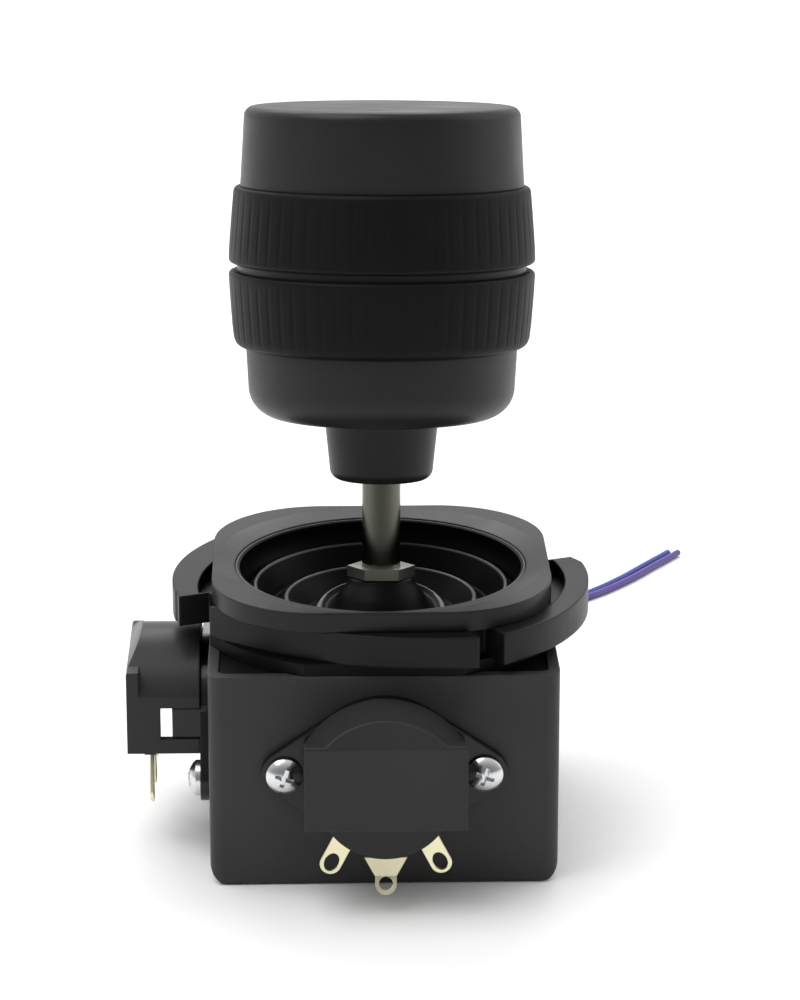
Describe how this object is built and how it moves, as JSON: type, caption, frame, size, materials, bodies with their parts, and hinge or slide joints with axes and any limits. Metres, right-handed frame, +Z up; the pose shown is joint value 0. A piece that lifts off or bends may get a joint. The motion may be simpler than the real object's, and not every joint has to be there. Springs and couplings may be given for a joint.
{
  "type": "industrial joystick",
  "caption": "Joystick with a square tub housing, side potentiometers, notched clamp ring, ribbed rubber boot and a twisting two-part knob on a tilting stick.",
  "frame": {"origin": "centre of the housing's flat underside", "axes": "+Z up along the upright stick, -Y towards the front potentiometer, -X towards the left potentiometer"},
  "size_m": [0.0829, 0.139, 0.0954],
  "materials": {
    "housing_plastic": "fine moulded grain, dark grey",
    "frame_plastic": "matte black moulding",
    "ring_plastic": "satin dark grey moulding with lighter edges",
    "boot_rubber": "soft matte black",
    "bezel_rubber": "matte charcoal",
    "grip_rubber": "ribbed matte black",
    "knob_plastic": "smooth satin dark grey",
    "pot_plastic": "glossy black",
    "cover_plastic": "glossy dark grey",
    "lug_brass": "pale tinned brass",
    "screw_zinc": "bright zinc plate",
    "shaft_steel": "grey plated steel",
    "nut_steel": "bright plated steel",
    "bearing_brass": "turned brass",
    "carriage_metal": "cast, bead blasted",
    "bail_steel": "pressed steel",
    "spring_steel": "drawn wire",
    "washer_fibre": "hard fibre",
    "lead_blue_pvc": "soft insulation",
    "lead_violet_pvc": "soft insulation"
  },
  "bodies": {
    "base": {"housing": "housing_plastic", "top_frame": "frame_plastic", "mounting_ring": "ring_plastic", "boot_bezel": "bezel_rubber", "boot": "boot_rubber", "bush_left": "bearing_brass", "bush_right": "bearing_brass", "bush_front": "bearing_brass", "bush_rear": "bearing_brass", "friction_washer": "washer_fibre", "tilt_spring": "spring_steel", "front_pot_case": "pot_plastic", "front_pot_cover": "cover_plastic", "front_lug_1": "lug_brass", "front_lug_2": "lug_brass", "front_lug_3": "lug_brass", "front_screw_1": "screw_zinc", "front_screw_2": "screw_zinc", "side_pot_case": "pot_plastic", "side_pot_cover": "cover_plastic", "side_lug_1": "lug_brass", "side_lug_2": "lug_brass", "side_lug_3": "lug_brass", "side_screw_1": "screw_zinc", "side_screw_2": "screw_zinc", "lead_grommet": "boot_rubber", "lead_blue": "lead_blue_pvc", "lead_violet": "lead_violet_pvc"},
    "carriage": {"carriage": "carriage_metal", "cross_pin": "nut_steel", "side_wiper": "bearing_brass"},
    "bail": {"arc_bail": "bail_steel", "front_wiper": "bearing_brass"},
    "stick": {"stick_shaft": "shaft_steel", "boot_nut": "nut_steel", "knob_nut": "nut_steel", "knob_cup": "knob_plastic", "lower_grip": "grip_rubber", "twist_pot": "pot_plastic", "twist_plate": "bail_steel", "twist_nut": "nut_steel", "twist_spring": "spring_steel"},
    "knob_top": {"knob_cap": "knob_plastic", "upper_grip": "grip_rubber", "twist_shaft": "shaft_steel"}
  },
  "joints": [
    {"name": "fore_aft", "type": "hinge", "parent": "base", "child": "carriage", "pos_m": [0, 0, 0.0155], "axis": [1, 0, 0], "range_deg": [-16, 34], "deforming": ["boot"]},
    {"name": "side_to_side", "type": "hinge", "parent": "carriage", "child": "stick", "pos_m": [0, 0, 0.0155], "axis": [0, 0.9877, -0.1564], "range_deg": [-25, 25], "stiffness_Nm_per_rad": 0.2},
    {"name": "bail_swing", "type": "hinge", "parent": "base", "child": "bail", "pos_m": [0, 0, 0.0155], "axis": [0, 1, 0], "range_deg": [-25, 25], "deforming": ["tilt_spring"]},
    {"name": "twist", "type": "hinge", "parent": "stick", "child": "knob_top", "pos_m": [0, 0, 0.0155], "axis": [0.0079, 0.1564, 0.9877], "range_deg": [-22.5, 22.5], "stiffness_Nm_per_rad": 0.05, "deforming": ["twist_spring"]}
  ],
  "couplings": [
    {"joint": "bail_swing", "follows": "side_to_side", "ratio": 1}
  ]
}
